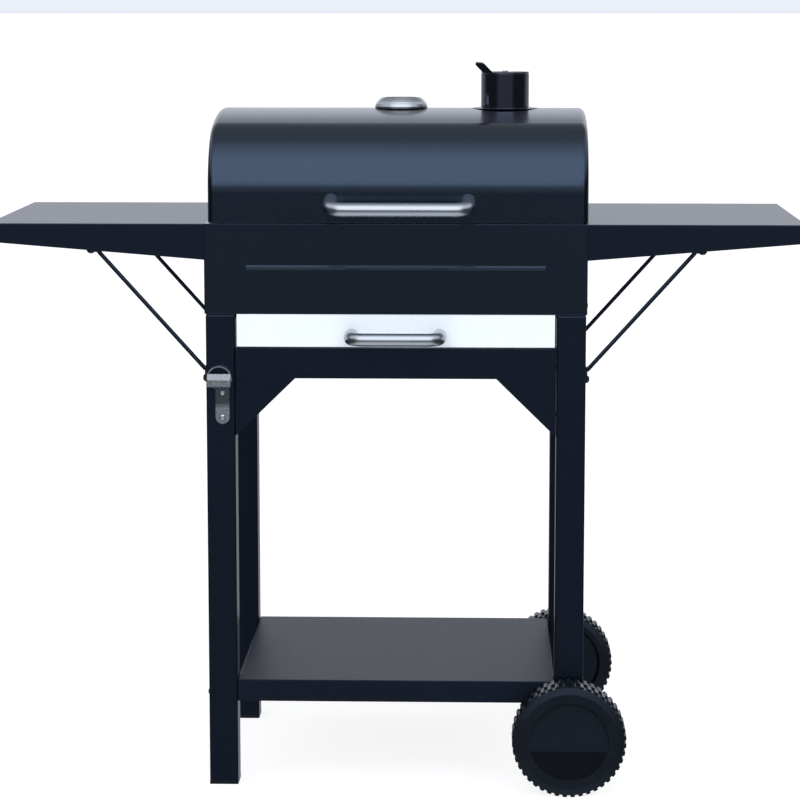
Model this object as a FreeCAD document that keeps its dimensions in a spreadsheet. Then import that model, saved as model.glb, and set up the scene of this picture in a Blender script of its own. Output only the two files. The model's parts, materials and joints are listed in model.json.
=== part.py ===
import FreeCAD, Part
import os
import math
import Sketcher

# Charcoal grill cart: a box firebox on four square-tube legs, a loaf-shaped hinged
# lid, a steel ash drawer, two bolted side tables and two wheels at the right end.
# Millimetres. +X is to the right as seen from the front, +Y to the back, +Z up.
# The origin is on the ground, midway between the four legs.

Vector = FreeCAD.Vector
Rotation = FreeCAD.Rotation
doc = FreeCAD.newDocument("grill_cart")
sheet = doc.addObject("Spreadsheet::Sheet", "Sizes")
made = []


class Size:
    """A length that keeps its value together with the sheet expression behind it."""

    def __init__(self, value, text):
        self.value = float(value)
        self.text = text

    def __add__(self, other):
        other = as_size(other)
        return Size(self.value + other.value, "(" + self.text + " + " + other.text + ")")

    def __sub__(self, other):
        other = as_size(other)
        return Size(self.value - other.value, "(" + self.text + " - " + other.text + ")")

    def __mul__(self, other):
        other = as_size(other)
        return Size(self.value * other.value, "(" + self.text + " * " + other.text + ")")

    def __truediv__(self, other):
        other = as_size(other)
        return Size(self.value / other.value, "(" + self.text + " / " + other.text + ")")

    def __neg__(self):
        return Size(-self.value, "(-1 * " + self.text + ")")

    def __radd__(self, other):
        return as_size(other) + self

    def __rsub__(self, other):
        return as_size(other) - self

    def __rmul__(self, other):
        return as_size(other) * self


def as_size(number):
    if isinstance(number, Size):
        return number
    return Size(number, "(" + repr(float(number)) + ")")


driving_dimensions = [
    ("frame_wide", 555.0, "over the legs, left to right"),
    ("frame_deep", 430.0, "over the legs, front to back"),
    ("leg_side", 42.5, "side of the square leg tube"),
    ("leg_wall", 1.5, "wall of the leg tube"),
    ("leg_top", 705.5, "top of the legs"),
    ("foot_lip", 4.0, "thickness of the plastic foot under a left leg"),
    ("short_leg_end", 62.0, "lower end of the two right legs"),
    ("sheet_wall", 1.5, "painted steel sheet"),
    ("box_wide", 558.0, "firebox, left to right"),
    ("box_low", 707.0, "lower edge of the firebox panels"),
    ("box_high", 838.5, "upper edge of the firebox panels"),
    ("box_hem", 10.0, "inward hem of the firebox panels"),
    ("bead_wide", 436.0, "length of the rib pressed in the front panel"),
    ("bead_level", 774.9, "height of that rib"),
    ("lid_wide", 553.0, "lid, left to right"),
    ("lid_shift", 3.0, "the lid hangs this far to the right in its hinges"),
    ("lid_low", 840.0, "lower edge of the lid"),
    ("lid_spring", 884.0, "height at which the lid starts to curve"),
    ("lid_crown", 998.0, "top of the lid"),
    ("lid_shoulder", 100.0, "radius of the lid's front and back shoulders"),
    ("lid_corner", 10.0, "rounding between the lid and its ends"),
    ("table_reach", 595.0, "outer end of each side table from the middle"),
    ("table_top", 838.3, "top of the side tables"),
    ("table_root_drop", 52.5, "side table apron height at the firebox"),
    ("table_tip_drop", 27.0, "side table apron height at the outer end"),
    ("table_lip", 14.0, "inward lip under the side table aprons"),
    ("shelf_top", 160.5, "top of the lower shelf"),
    ("shelf_low", 128.0, "lower edge of the shelf's rim"),
    ("apron_top", 657.0, "upper edge of the aprons"),
    ("apron_low", 612.3, "lower edge of the aprons in the middle"),
    ("gusset_low", 527.0, "lowest point of the corner gussets"),
    ("gusset_reach", 147.0, "inner end of the gussets from the middle"),
    ("apron_deep", 18.0, "depth of the apron channel"),
    ("apron_half", 234.4, "half length of the aprons"),
    ("drawer_low", 659.0, "lower edge of the drawer front"),
    ("drawer_high", 706.5, "upper edge of the drawer front"),
    ("drawer_wide", 464.0, "drawer front, left to right"),
    ("drawer_return", 12.0, "returned edge of the drawer front"),
    ("drawer_wall", 1.2, "drawer sheet"),
    ("pan_wide", 448.0, "ash pan, left to right"),
    ("pan_back", 192.0, "back of the ash pan"),
    ("pan_low", 663.0, "underside of the ash pan"),
    ("pan_high", 700.0, "rim of the ash pan"),
    ("wheel_radius", 84.0, "over the tread"),
    ("wheel_wide", 50.0, "width of the tread"),
    ("tread_deep", 3.0, "depth of the tread blocks"),
    ("wheel_stand", 7.0, "gap between a leg and the tread"),
    ("axle_radius", 5.0, "wheel axle"),
    ("cap_radius", 57.8, "wheel cover disc"),
    ("chimney_x", 159.0, "chimney centre from the middle"),
    ("chimney_radius", 36.2, "chimney pipe"),
    ("chimney_high", 1050.5, "upper end of the chimney pipe"),
    ("flange_radius", 50.0, "chimney base flange"),
    ("gauge_x", 1.9, "thermometer centre from the middle"),
    ("gauge_radius", 39.6, "thermometer bezel"),
    ("hinge_y", 220.5, "lid hinge axis from the middle"),
    ("hinge_z", 839.2, "lid hinge axis height"),
    ("knuckle_radius", 5.2, "lid hinge knuckle"),
    ("pin_radius", 2.5, "lid hinge pin"),
    ("strut_radius", 3.1, "side table strut rod"),
    ("strut_y", 200.0, "front and rear struts from the middle"),
    ("strut_low_z", 611.0, "lower strut bolt"),
    ("strut_high_x", 446.0, "upper strut bolt from the middle"),
    ("tube_radius", 10.6, "lid handle tube"),
    ("small_tube_radius", 9.5, "drawer handle tube"),
]


class Dimensions:
    """The driving dimensions, one attribute for each alias in the sheet."""


d = Dimensions()
for row, (alias, number, meaning) in enumerate(driving_dimensions, start=1):
    sheet.set("A" + str(row), meaning)
    sheet.set("B" + str(row), str(number))
    sheet.setAlias("B" + str(row), alias)
    setattr(d, alias, Size(number, "Sizes." + alias))
doc.recompute()

leg_face = d.frame_deep / 2
leg_inner = d.frame_wide / 2 - d.leg_side
leg_middle_x = d.frame_wide / 2 - d.leg_side / 2
leg_middle_y = d.frame_deep / 2 - d.leg_side / 2


# ---------------------------------------------------------------- helpers


def bind(item, prop, size):
    item.setExpression(prop, as_size(size).text)


def place(item, x, y, z):
    bind(item, "Placement.Base.x", x)
    bind(item, "Placement.Base.y", y)
    bind(item, "Placement.Base.z", z)


def node(item, label):
    """Name an object as one of the cart's pieces."""
    item.Label = label
    made.append(item)
    return item


def box(x_range, y_range, z_range):
    item = doc.addObject("Part::Box", "Box")
    bind(item, "Length", as_size(x_range[1]) - x_range[0])
    bind(item, "Width", as_size(y_range[1]) - y_range[0])
    bind(item, "Height", as_size(z_range[1]) - z_range[0])
    place(item, x_range[0], y_range[0], z_range[0])
    return item


def cylinder(radius, length, start, axis="z", sign=1):
    """A cylinder from the start point along an axis, backwards when sign is -1."""
    item = doc.addObject("Part::Cylinder", "Cylinder")
    bind(item, "Radius", radius)
    bind(item, "Height", length)
    turns = {"x": Vector(sign, 0, 0), "y": Vector(0, sign, 0), "z": Vector(0, 0, sign)}
    item.Placement = FreeCAD.Placement(Vector(0, 0, 0), Rotation(Vector(0, 0, 1), turns[axis]))
    place(item, *start)
    return item


def fuse(items):
    item = doc.addObject("Part::MultiFuse", "Fuse")
    item.Shapes = items
    item.Refine = True
    return item


def cut(base, tools):
    item = doc.addObject("Part::Cut", "Cut")
    item.Base = base
    item.Tool = tools[0] if len(tools) == 1 else fuse(tools)
    return item


def origin_plane(body, role):
    return [plane for plane in body.Origin.OriginFeatures if plane.Role == role][0]


def sketch_on(body, role, offset):
    sketch = body.newObject("Sketcher::SketchObject", "Sketch")
    sketch.AttachmentSupport = [(origin_plane(body, role), "")]
    sketch.MapMode = "FlatFace"
    bind(sketch, "AttachmentOffset.Base.z", offset)
    return sketch


def add_polygon(sketch, points):
    """A closed polygon whose corners are held by the sheet's dimensions."""
    first = sketch.GeometryCount
    count = len(points)
    corners = [(as_size(a), as_size(b)) for a, b in points]
    for i in range(count):
        a = corners[i]
        b = corners[(i + 1) % count]
        line = Part.LineSegment(Vector(a[0].value, a[1].value, 0), Vector(b[0].value, b[1].value, 0))
        sketch.addGeometry(line, False)
    for i in range(count):
        joint = Sketcher.Constraint("Coincident", first + i, 2, first + (i + 1) % count, 1)
        sketch.addConstraint(joint)
    for i in range(count):
        for kind, size in zip(("DistanceX", "DistanceY"), corners[i]):
            rule = Sketcher.Constraint(kind, -1, 1, first + i, 1, size.value)
            index = sketch.addConstraint(rule)
            sketch.setExpression("Constraints[" + str(index) + "]", size.text)


def add_circle(sketch, x, y, radius):
    x, y, radius = as_size(x), as_size(y), as_size(radius)
    index = sketch.addGeometry(Part.Circle(Vector(x.value, y.value, 0), Vector(0, 0, 1), radius.value), False)
    rules = [
        (Sketcher.Constraint("DistanceX", -1, 1, index, 3, x.value), x),
        (Sketcher.Constraint("DistanceY", -1, 1, index, 3, y.value), y),
        (Sketcher.Constraint("Radius", index, radius.value), radius),
    ]
    for rule, size in rules:
        number = sketch.addConstraint(rule)
        sketch.setExpression("Constraints[" + str(number) + "]", size.text)


def new_body():
    return doc.addObject("PartDesign::Body", "Body")


def pad(body, role, offset, rings, length, both_ways=False):
    sketch = sketch_on(body, role, offset)
    for ring in rings:
        add_polygon(sketch, ring)
    feature = body.newObject("PartDesign::Pad", "Pad")
    feature.Profile = sketch
    bind(feature, "Length", length)
    if both_ways:
        feature.SideType = "Symmetric"
    return feature


def pocket(body, role, offset, rings, length, both_ways=False, towards=False):
    """Cut the rings away, against the plane's normal unless towards is true."""
    sketch = sketch_on(body, role, offset)
    for ring in rings:
        add_polygon(sketch, ring)
    feature = body.newObject("PartDesign::Pocket", "Pocket")
    feature.Profile = sketch
    feature.Reversed = towards
    bind(feature, "Length", length)
    if both_ways:
        feature.SideType = "Symmetric"
    return feature


def rectangle(x_range, y_range):
    return [
        (x_range[0], y_range[0]),
        (x_range[1], y_range[0]),
        (x_range[1], y_range[1]),
        (x_range[0], y_range[1]),
    ]


def revolve(points, centre, axis_role="z"):
    """Turn a closed (radius, height) outline about the vertical line through centre."""
    body = new_body()
    sketch = sketch_on(body, "XZ_Plane", 0)
    add_polygon(sketch, points)
    feature = body.newObject("PartDesign::Revolution", "Revolution")
    feature.Profile = sketch
    feature.ReferenceAxis = (sketch, ["V_Axis"])
    feature.Angle = 360
    if axis_role == "front":
        body.Placement = FreeCAD.Placement(Vector(0, 0, 0), Rotation(Vector(1, 0, 0), 90))
    if axis_role == "rear":
        body.Placement = FreeCAD.Placement(Vector(0, 0, 0), Rotation(Vector(1, 0, 0), -90))
    place(body, *centre)
    return body


def round_edges(base, radius, wanted):
    """Round the edges of base that wanted(edge) picks."""
    doc.recompute()
    item = doc.addObject("Part::Fillet", "Fillet")
    item.Base = base
    picks = []
    for index, edge in enumerate(base.Shape.Edges, start=1):
        if wanted(edge):
            picks.append((index, as_size(radius).value, as_size(radius).value))
    item.Edges = picks
    return item


def along(edge, axis):
    """True for a straight edge that runs along the axis number."""
    if not isinstance(edge.Curve, Part.Line):
        return False
    return abs(abs(edge.Curve.Direction[axis]) - 1) < 1e-6


# ---------------------------------------------------------------- legs and frame


apron_bolt_levels = (560.0, 630.0)
opener_neck_x = -253.5
opener_screw_levels = (591, 555)


def apron_hole(x_side, y_side, z):
    """Clearance hole through an apron's end flange and the leg wall behind it."""
    middle = (leg_face - d.apron_deep / 2) * y_side
    return cylinder(3.3, 12, ((d.apron_half - 5) * x_side, middle, z), "x", x_side)


def leg(label, x_side, y_side, low, holes):
    """A square tube with rounded corners, closed at the top."""
    x_mid = leg_middle_x * x_side
    y_mid = leg_middle_y * y_side
    half = d.leg_side / 2
    hollow = half - d.leg_wall
    outer = box((x_mid - half, x_mid + half), (y_mid - half, y_mid + half), (low, d.leg_top))
    top = d.leg_top.value
    soft = round_edges(
        outer,
        2.5,
        lambda edge: along(edge, 2) or edge.BoundBox.ZMin > top - 0.01,
    )
    core = box(
        (x_mid - hollow, x_mid + hollow),
        (y_mid - hollow, y_mid + hollow),
        (low - 1, d.leg_top - d.leg_wall * 2),
    )
    return node(cut(soft, [core] + holes), label)


def foot_plugs():
    """A moulded plug in each left leg: a lip under the tube and a stub inside it."""
    plugs = []
    for y_side in (-1, 1):
        x_mid = -leg_middle_x
        y_mid = leg_middle_y * y_side
        half = d.leg_side / 2
        stub = half - d.leg_wall - 0.2
        lip = box((x_mid - half, x_mid + half), (y_mid - half, y_mid + half), (0, d.foot_lip))
        core = box((x_mid - stub, x_mid + stub), (y_mid - stub, y_mid + stub), (d.foot_lip - 1, 30))
        plugs.append(fuse([lip, core]))
    group = doc.addObject("Part::Compound", "Plugs")
    group.Links = plugs
    return node(group, "foot_plugs")


def apron_outline(inset):
    """Half-hexagon apron with a 45 degree gusset at each end, drawn in X and Z."""
    end = d.apron_half - inset
    slope = inset * 0.4142
    return [
        (-end, d.gusset_low + inset * 2.4142),
        (-d.gusset_reach - slope, d.apron_low + inset),
        (d.gusset_reach + slope, d.apron_low + inset),
        (end, d.gusset_low + inset * 2.4142),
        (end, d.apron_top - inset),
        (-end, d.apron_top - inset),
    ]


def apron(label, y_side):
    """A folded channel between two legs, open towards the inside of the cart."""
    body = new_body()
    outline = apron_outline(as_size(0))
    hollow = apron_outline(d.sheet_wall)
    if y_side < 0:
        pad(body, "XZ_Plane", leg_face - d.apron_deep, [outline], d.apron_deep)
        pocket(body, "XZ_Plane", leg_face - d.sheet_wall, [hollow], d.apron_deep)
    else:
        pad(body, "XZ_Plane", -leg_face, [outline], d.apron_deep)
        pocket(body, "XZ_Plane", d.sheet_wall - leg_face, [hollow], d.apron_deep, towards=True)
    holes = [apron_hole(x_side, y_side, z) for x_side in (-1, 1) for z in apron_bolt_levels]
    return node(cut(body, holes), label)


def runner(label, x_side):
    """The angle between a front and a rear leg that carries one edge of the ash pan."""
    web = leg_inner - d.sheet_wall
    ledge = leg_inner - 22
    outline = [
        (leg_inner * x_side, 660.5),
        (leg_inner * x_side, 700.0),
        (web * x_side, 700.0),
        (web * x_side, as_size(660.5) + d.sheet_wall),
        (ledge * x_side, as_size(660.5) + d.sheet_wall),
        (ledge * x_side, 660.5),
    ]
    body = new_body()
    pad(body, "XZ_Plane", -(leg_face - 2), [outline], leg_face * 2 - 16)
    return node(body, label)


def lower_shelf():
    """An upturned tray between the legs, open underneath."""
    half_x = leg_inner - 0.4
    body = new_body()
    slab = [rectangle((-half_x, half_x), (-leg_face, leg_face))]
    wall = d.sheet_wall
    hollow = [rectangle((-(half_x - wall), half_x - wall), (-(leg_face - wall), leg_face - wall))]
    pad(body, "XY_Plane", d.shelf_low, slab, d.shelf_top - d.shelf_low)
    pocket(body, "XY_Plane", d.shelf_top - wall, hollow, 100)
    top = d.shelf_top.value
    soft = round_edges(body, 1.2, lambda edge: edge.BoundBox.ZMin > top - 0.01)
    bolt_z = 137.0
    holes = []
    for x_side in (-1, 1):
        for y_side in (-1, 1):
            start = (leg_inner * x_side + 6, leg_middle_y * y_side, bolt_z)
            holes.append(cylinder(3.3, 12, start, "x", -1))
    return node(cut(soft, holes), "lower_shelf")


def button_bolt(length, radius=3.0, head=5.5, dome=3.3):
    """A domed head with a hexagon socket, over a shank that points down from the origin."""
    outline = [
        Vector(0, 0, dome),
        Vector(head * 0.55, 0, dome * 0.86),
        Vector(head * 0.9, 0, dome * 0.4),
        Vector(head, 0, 0),
        Vector(radius, 0, 0),
        Vector(radius, 0, -length + 0.6),
        Vector(radius - 0.6, 0, -length),
        Vector(0, 0, -length),
    ]
    wire = Part.makePolygon(outline + [outline[0]])
    blank = Part.Face(wire).revolve(Vector(0, 0, 0), Vector(0, 0, 1), 360)
    floor = dome * 0.4
    corners = []
    for step in range(7):
        angle = math.radians(60 * step)
        corners.append(Vector(head * 0.4 * math.cos(angle), head * 0.4 * math.sin(angle), floor))
    socket = Part.Face(Part.makePolygon(corners)).extrude(Vector(0, 0, dome))
    return blank.cut(socket)


def bolt_group(label, shape, places):
    """Identical fasteners: each place is a point and the way the head looks."""
    bolts = []
    for point, out in places:
        bolt = shape.copy()
        bolt.Placement = FreeCAD.Placement(Vector(*point), Rotation(Vector(0, 0, 1), Vector(*out)))
        bolts.append(bolt)
    item = doc.addObject("Part::Feature", "Fasteners")
    item.Shape = Part.makeCompound(bolts)
    return node(item, label)


# ---------------------------------------------------------------- firebox


def firebox_panel(label, y_side):
    """The front or back panel, with a hem at the top and a flange at the bottom."""
    half = d.box_wide / 2
    face = leg_face * y_side
    wall = d.sheet_wall * y_side
    hem = d.box_hem * y_side
    outline = [
        (face, d.box_low),
        (face, d.box_high),
        (face - hem, d.box_high),
        (face - hem, d.box_high - d.sheet_wall),
        (face - wall, d.box_high - d.sheet_wall),
        (face - wall, d.box_low + d.sheet_wall),
        (face - hem, d.box_low + d.sheet_wall),
        (face - hem, d.box_low),
    ]
    face_flat = [
        (face, d.box_low),
        (face, d.box_high),
        (face - wall, d.box_high),
        (face - wall, d.box_low),
    ]
    body = new_body()
    pad(body, "YZ_Plane", 0, [face_flat], half * 2, both_ways=True)
    pad(body, "YZ_Plane", 0, [outline], (half - d.sheet_wall) * 2, both_ways=True)
    if y_side > 0:
        return node(body, label)
    rib = [
        (face + 0.5, d.bead_level - 3.2),
        (face - 0.9, d.bead_level - 2.2),
        (face - 1.8, d.bead_level - 0.9),
        (face - 1.8, d.bead_level + 0.9),
        (face - 0.9, d.bead_level + 2.2),
        (face + 0.5, d.bead_level + 3.2),
    ]
    pad(body, "YZ_Plane", 0, [rib], d.bead_wide, both_ways=True)
    return node(body, label)


def firebox_side(label, x_side):
    """An end panel between the front and back panels, with the same hem and flange."""
    face = d.box_wide / 2 * x_side
    wall = d.sheet_wall * x_side
    hem = d.box_hem * x_side
    outline = [
        (face, d.box_low),
        (face, d.box_high),
        (face - hem, d.box_high),
        (face - hem, d.box_high - d.sheet_wall),
        (face - wall, d.box_high - d.sheet_wall),
        (face - wall, d.box_low + d.sheet_wall),
        (face - hem, d.box_low + d.sheet_wall),
        (face - hem, d.box_low),
    ]
    body = new_body()
    pad(body, "XZ_Plane", 0, [outline], (leg_face - d.box_hem) * 2, both_ways=True)
    face_flat = [
        (face, d.box_low),
        (face, d.box_high),
        (face - wall, d.box_high),
        (face - wall, d.box_low),
    ]
    pad(body, "XZ_Plane", 0, [face_flat], (leg_face - d.sheet_wall) * 2, both_ways=True)
    holes = []
    for y in (-150, 150):
        holes.append(cylinder(3.3, 8, (face + 4, y, 812), "x", -1))
    for y in (-150, 150):
        holes.append(cylinder(3.3, 8, (face + 4, y, 714), "x", -1))
    return node(cut(body, holes), label)


def firebox_floor():
    """The plate on the leg tops, cut away over the ash pan and behind the drawer front."""
    half = d.box_wide / 2 - d.sheet_wall - 0.3
    back = leg_face - d.sheet_wall
    notch_x = leg_inner - 0.5
    notch_y = leg_face - 15
    rim = [
        (-half, -back),
        (-notch_x, -back),
        (-notch_x, -notch_y),
        (notch_x, -notch_y),
        (notch_x, -back),
        (half, -back),
        (half, back),
        (-half, back),
    ]
    hole = rectangle((-222, 222), (-162, 162))
    body = new_body()
    pad(body, "XY_Plane", d.box_low - d.sheet_wall, [rim, hole], d.sheet_wall)
    return node(body, "firebox_floor")


def charcoal_grate():
    """A slotted steel tray standing on its own folded edges over the floor opening."""
    body = new_body()
    edge_x = as_size(255)
    edge_y = as_size(190)
    low = as_size(707.0)
    top = as_size(730.0)
    wall = d.sheet_wall
    outer = [rectangle((-edge_x, edge_x), (-edge_y, edge_y))]
    hollow = [rectangle((-(edge_x - wall), edge_x - wall), (-(edge_y - wall), edge_y - wall))]
    pad(body, "XY_Plane", low, outer, top - low)
    pocket(body, "XY_Plane", top - wall, hollow, 60)
    slots = []
    for column in range(12):
        x = -220 + column * 40
        for y_side in (-1, 1):
            y_near = 18 * y_side
            y_far = 165 * y_side
            slots.append(rectangle((x - 5, x + 5), (min(y_near, y_far), max(y_near, y_far))))
    pocket(body, "XY_Plane", top + 1, slots, 6)
    return node(body, "charcoal_grate")


def grate_ledge(label, y_side):
    """An angle along the inside of a panel that carries the cooking grates."""
    back = (leg_face - d.sheet_wall) * y_side
    wall = d.sheet_wall * y_side
    shelf = as_size(17) * y_side
    outline = [
        (back, 798.0),
        (back, 812.0),
        (back - shelf, 812.0),
        (back - shelf, as_size(812) - d.sheet_wall),
        (back - wall, as_size(812) - d.sheet_wall),
        (back - wall, 798.0),
    ]
    body = new_body()
    pad(body, "YZ_Plane", 0, [outline], 536, both_ways=True)
    return node(body, label)


def cooking_grate(label, x_side):
    """A rod frame with round bars laid front to back on it."""
    near = 3.0
    far = 270.0
    reach = 205.0
    frame_z = 815.2
    bar_z = 819.2
    rods = []
    for y in (-reach, reach):
        rods.append(cylinder(3, far - near - 6, (near * x_side + 3 * x_side, y, frame_z), "x", x_side))
    for x in (near + 4, far - 4):
        rods.append(cylinder(3, reach * 2 + 4, (x * x_side, -reach - 2, frame_z), "y"))
    rods.append(cylinder(3, far - near - 12, (near * x_side + 6 * x_side, 0, frame_z), "x", x_side))
    pitch = 15.0
    for step in range(16):
        x = (near + 19 + step * pitch) * x_side
        rods.append(cylinder(2.2, reach * 2 + 2, (x, -reach - 1, bar_z), "y"))
    return node(fuse(rods), label)


# ---------------------------------------------------------------- lid


def lid_arch(inset):
    """Lid solid, smaller all round by inset: straight sides under a three-centred arch."""
    body = new_body()
    sketch = sketch_on(body, "YZ_Plane", d.lid_shift)
    half = leg_face.value
    spring = d.lid_spring.value
    rise = d.lid_crown.value - spring
    shoulder = d.lid_shoulder.value
    crown = (half ** 2 + rise ** 2 - 2 * half * shoulder) / (2 * (rise - shoulder))
    lean = math.atan2(half - shoulder, crown - rise)
    low = d.lid_low.value - (20 if inset else 0)
    up = math.pi / 2
    arcs = [
        (Vector(-(half - shoulder), spring, 0), shoulder - inset, up + lean, math.pi),
        (Vector(0, spring + rise - crown, 0), crown - inset, up - lean, up + lean),
        (Vector(half - shoulder, spring, 0), shoulder - inset, 0, up - lean),
    ]
    for centre, radius, start, end in arcs:
        circle = Part.Circle(centre, Vector(0, 0, 1), radius)
        sketch.addGeometry(Part.ArcOfCircle(circle, start, end), False)
    side = half - inset
    corners = [Vector(side, spring, 0), Vector(side, low, 0), Vector(-side, low, 0), Vector(-side, spring, 0)]
    for start, end in zip(corners, corners[1:]):
        sketch.addGeometry(Part.LineSegment(start, end), False)
    feature = body.newObject("PartDesign::Pad", "Pad")
    feature.Profile = sketch
    bind(feature, "Length", d.lid_wide - 2 * inset)
    feature.SideType = "Symmetric"
    return round_edges(
        body,
        d.lid_corner - inset,
        lambda edge: edge.BoundBox.XLength < 0.01 and edge.BoundBox.ZMax > low + 0.01,
    )


def lid_shell():
    """The welded lid skin, open below, with holes for the chimney and thermometer."""
    outer = lid_arch(0)
    inner = lid_arch(d.sheet_wall.value)
    flue = cylinder(31, 20, (d.chimney_x, 0, d.lid_crown - 10))
    stem = cylinder(3.6, 20, (d.gauge_x, 0, d.lid_crown - 10))
    holes = []
    for x in (-99.6, 99.6):
        holes.append(cylinder(2.8, 10, (d.lid_shift + 2.9 + x, -leg_face + 5, 872), "y", -1))
    return node(cut(outer, [inner, flue, stem] + holes), "lid_shell")


def u_handle(label, width, reach, bend, radius, centre, droop):
    """A round tube bent into a U that stands out from a panel and droops a little."""
    half = width / 2 - radius
    body = new_body()
    path = sketch_on(body, "XY_Plane", 0)
    a, r, b = half.value, float(bend), float(reach)
    root = -4
    path.addGeometry(Part.LineSegment(Vector(-a, root, 0), Vector(-a, b - r, 0)), False)
    left = Part.Circle(Vector(-a + r, b - r, 0), Vector(0, 0, 1), r)
    path.addGeometry(Part.ArcOfCircle(left, math.pi / 2, math.pi), False)
    path.addGeometry(Part.LineSegment(Vector(-a + r, b, 0), Vector(a - r, b, 0)), False)
    right = Part.Circle(Vector(a - r, b - r, 0), Vector(0, 0, 1), r)
    path.addGeometry(Part.ArcOfCircle(right, 0, math.pi / 2), False)
    path.addGeometry(Part.LineSegment(Vector(a, b - r, 0), Vector(a, root, 0)), False)
    ring = sketch_on(body, "XZ_Plane", -root)
    add_circle(ring, -half, 0, radius)
    pipe = body.newObject("PartDesign::AdditivePipe", "Pipe")
    pipe.Profile = ring
    pipe.Spine = (path, ["Edge1", "Edge2", "Edge3", "Edge4", "Edge5"])
    body.Placement = FreeCAD.Placement(Vector(0, 0, 0), Rotation(Vector(1, 0, 0), 180 + droop))
    place(body, *centre)
    behind = box((centre[0] - 150, centre[0] + 150), (centre[1], centre[1] + 30), (centre[2] - 40, centre[2] + 40))
    return node(cut(body, [behind]), label)


def hinge_part(label, is_lid_side):
    """Both hinge plates of one side: each has knuckles that take turns on the pin."""
    pieces = []
    bores = []
    for centre in (-170, 170):
        x = as_size(centre)
        if is_lid_side:
            pieces.append(box((x - 27, x + 27), (leg_face, leg_face + 2), (844, 876)))
            spans = [(-17.7, -6.3), (6.3, 17.7)]
            web = (839.5, 846)
        else:
            pieces.append(box((x - 27, x + 27), (leg_face, leg_face + 2), (800, 835)))
            pieces.append(box((x - 27, x + 27), (leg_face + 1, 252), (826, 828)))
            pieces.append(box((x - 27, x + 27), (250, 252), (826, 839.6)))
            spans = [(-27, -18), (-6, 6), (18, 27)]
            web = (832, 838.9)
        for low, high in spans:
            start = (x + low, d.hinge_y, d.hinge_z)
            pieces.append(cylinder(d.knuckle_radius, high - low, start, "x"))
            pieces.append(box((x + low, x + high), (leg_face + 0.3, leg_face + 2.2), web))
        bores.append(cylinder(d.pin_radius + 0.05, 70, (x - 35, d.hinge_y, d.hinge_z), "x"))
    return node(cut(fuse(pieces), bores), label)


def hinge_pins():
    """One pin through the knuckles of each hinge, with a head at both ends."""
    pins = []
    for centre in (-170, 170):
        shank = cylinder(d.pin_radius, 58, (centre - 29, d.hinge_y, d.hinge_z), "x")
        left = cylinder(4, 2, (centre - 30, d.hinge_y, d.hinge_z), "x")
        right = cylinder(4, 2, (centre + 28, d.hinge_y, d.hinge_z), "x")
        pins.append(fuse([shank, left, right]))
    group = doc.addObject("Part::Compound", "Pins")
    group.Links = pins
    return node(group, "hinge_pins")


def chimney():
    low = d.lid_crown
    edge = d.flange_radius
    rim = [(0, 0), (edge, 0), (edge, 0.15), (edge - 9, 1.5), (0, 1.5)]
    flange = cut(
        fuse([
            revolve(rim, (d.chimney_x, 0, low)),
            cylinder(d.chimney_radius - 1.7, 9, (d.chimney_x, 0, low)),
        ]),
        [cylinder(d.chimney_radius - 3.2, 20, (d.chimney_x, 0, low - 5))],
    )
    node(flange, "chimney_flange")
    pipe = cut(
        cylinder(d.chimney_radius, d.chimney_high - low - 1.5, (d.chimney_x, 0, low + 1.5)),
        [cylinder(d.chimney_radius - 1.5, 90, (d.chimney_x, 0, low - 5))],
    )
    node(pipe, "chimney_pipe")
    vents = []
    for turn in (80, 200, 320):
        x = 20 * math.cos(math.radians(turn))
        y = 20 * math.sin(math.radians(turn))
        vents.append(cylinder(9, 10, (d.chimney_x + x, y, d.chimney_high - 6)))
    pivot = cylinder(2.6, 10, (d.chimney_x, 0, d.chimney_high - 6))
    plate = cut(
        cylinder(d.chimney_radius - 1.7, 1.5, (d.chimney_x, 0, d.chimney_high - 1.5)),
        vents + [pivot],
    )
    node(plate, "chimney_plate")


def damper_cap():
    """The turning disc on the chimney, with three vents and a bent-up finger tab."""
    low = d.chimney_high + 0.4
    disc = cylinder(d.chimney_radius - 0.4, 2, (d.chimney_x, 0, low))
    tab = doc.addObject("Part::Feature", "Tab")
    edge = d.chimney_radius.value - 5
    outline = [
        Vector(edge, 0, 0.0),
        Vector(edge + 5, 0, 0.0),
        Vector(edge + 24.7, 0, 15.2),
        Vector(edge + 23.2, 0, 16.8),
        Vector(edge + 4.2, 0, 2.0),
        Vector(edge, 0, 2.0),
    ]
    sheet_face = Part.Face(Part.makePolygon(outline + [outline[0]]))
    tongue = sheet_face.extrude(Vector(0, 19, 0))
    tongue.translate(Vector(0, -9.5, 0))
    tip = Part.makeCylinder(11.5, 60, Vector(edge + 14.2, 0, -20))
    heel = Part.makeBox(16, 19, 30, Vector(edge - 2, -9.5, -5))
    tab.Shape = tongue.common(tip.fuse(heel))
    tab.Placement = FreeCAD.Placement(
        Vector(d.chimney_x.value, 0, low.value), Rotation(Vector(0, 0, 1), 223)
    )
    vents = []
    for turn in (140, 260, 20):
        x = 20 * math.cos(math.radians(turn))
        y = 20 * math.sin(math.radians(turn))
        vents.append(cylinder(9, 10, (d.chimney_x + x, y, low - 4)))
    vents.append(cylinder(2.55, 10, (d.chimney_x, 0, low - 4)))
    return node(cut(fuse([disc, tab]), vents), "damper_cap")


def damper_rivet():
    """A shouldered rivet: it holds the plate and lets the cap turn under its head."""
    low = d.chimney_high
    shank = cylinder(2.5, 5.6, (d.chimney_x, 0, low - 2.6))
    head = cylinder(4.5, 1.2, (d.chimney_x, 0, low + 2.6))
    tail = cylinder(4, 1, (d.chimney_x, 0, low - 2.6))
    return node(fuse([shank, head, tail]), "damper_rivet")


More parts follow.
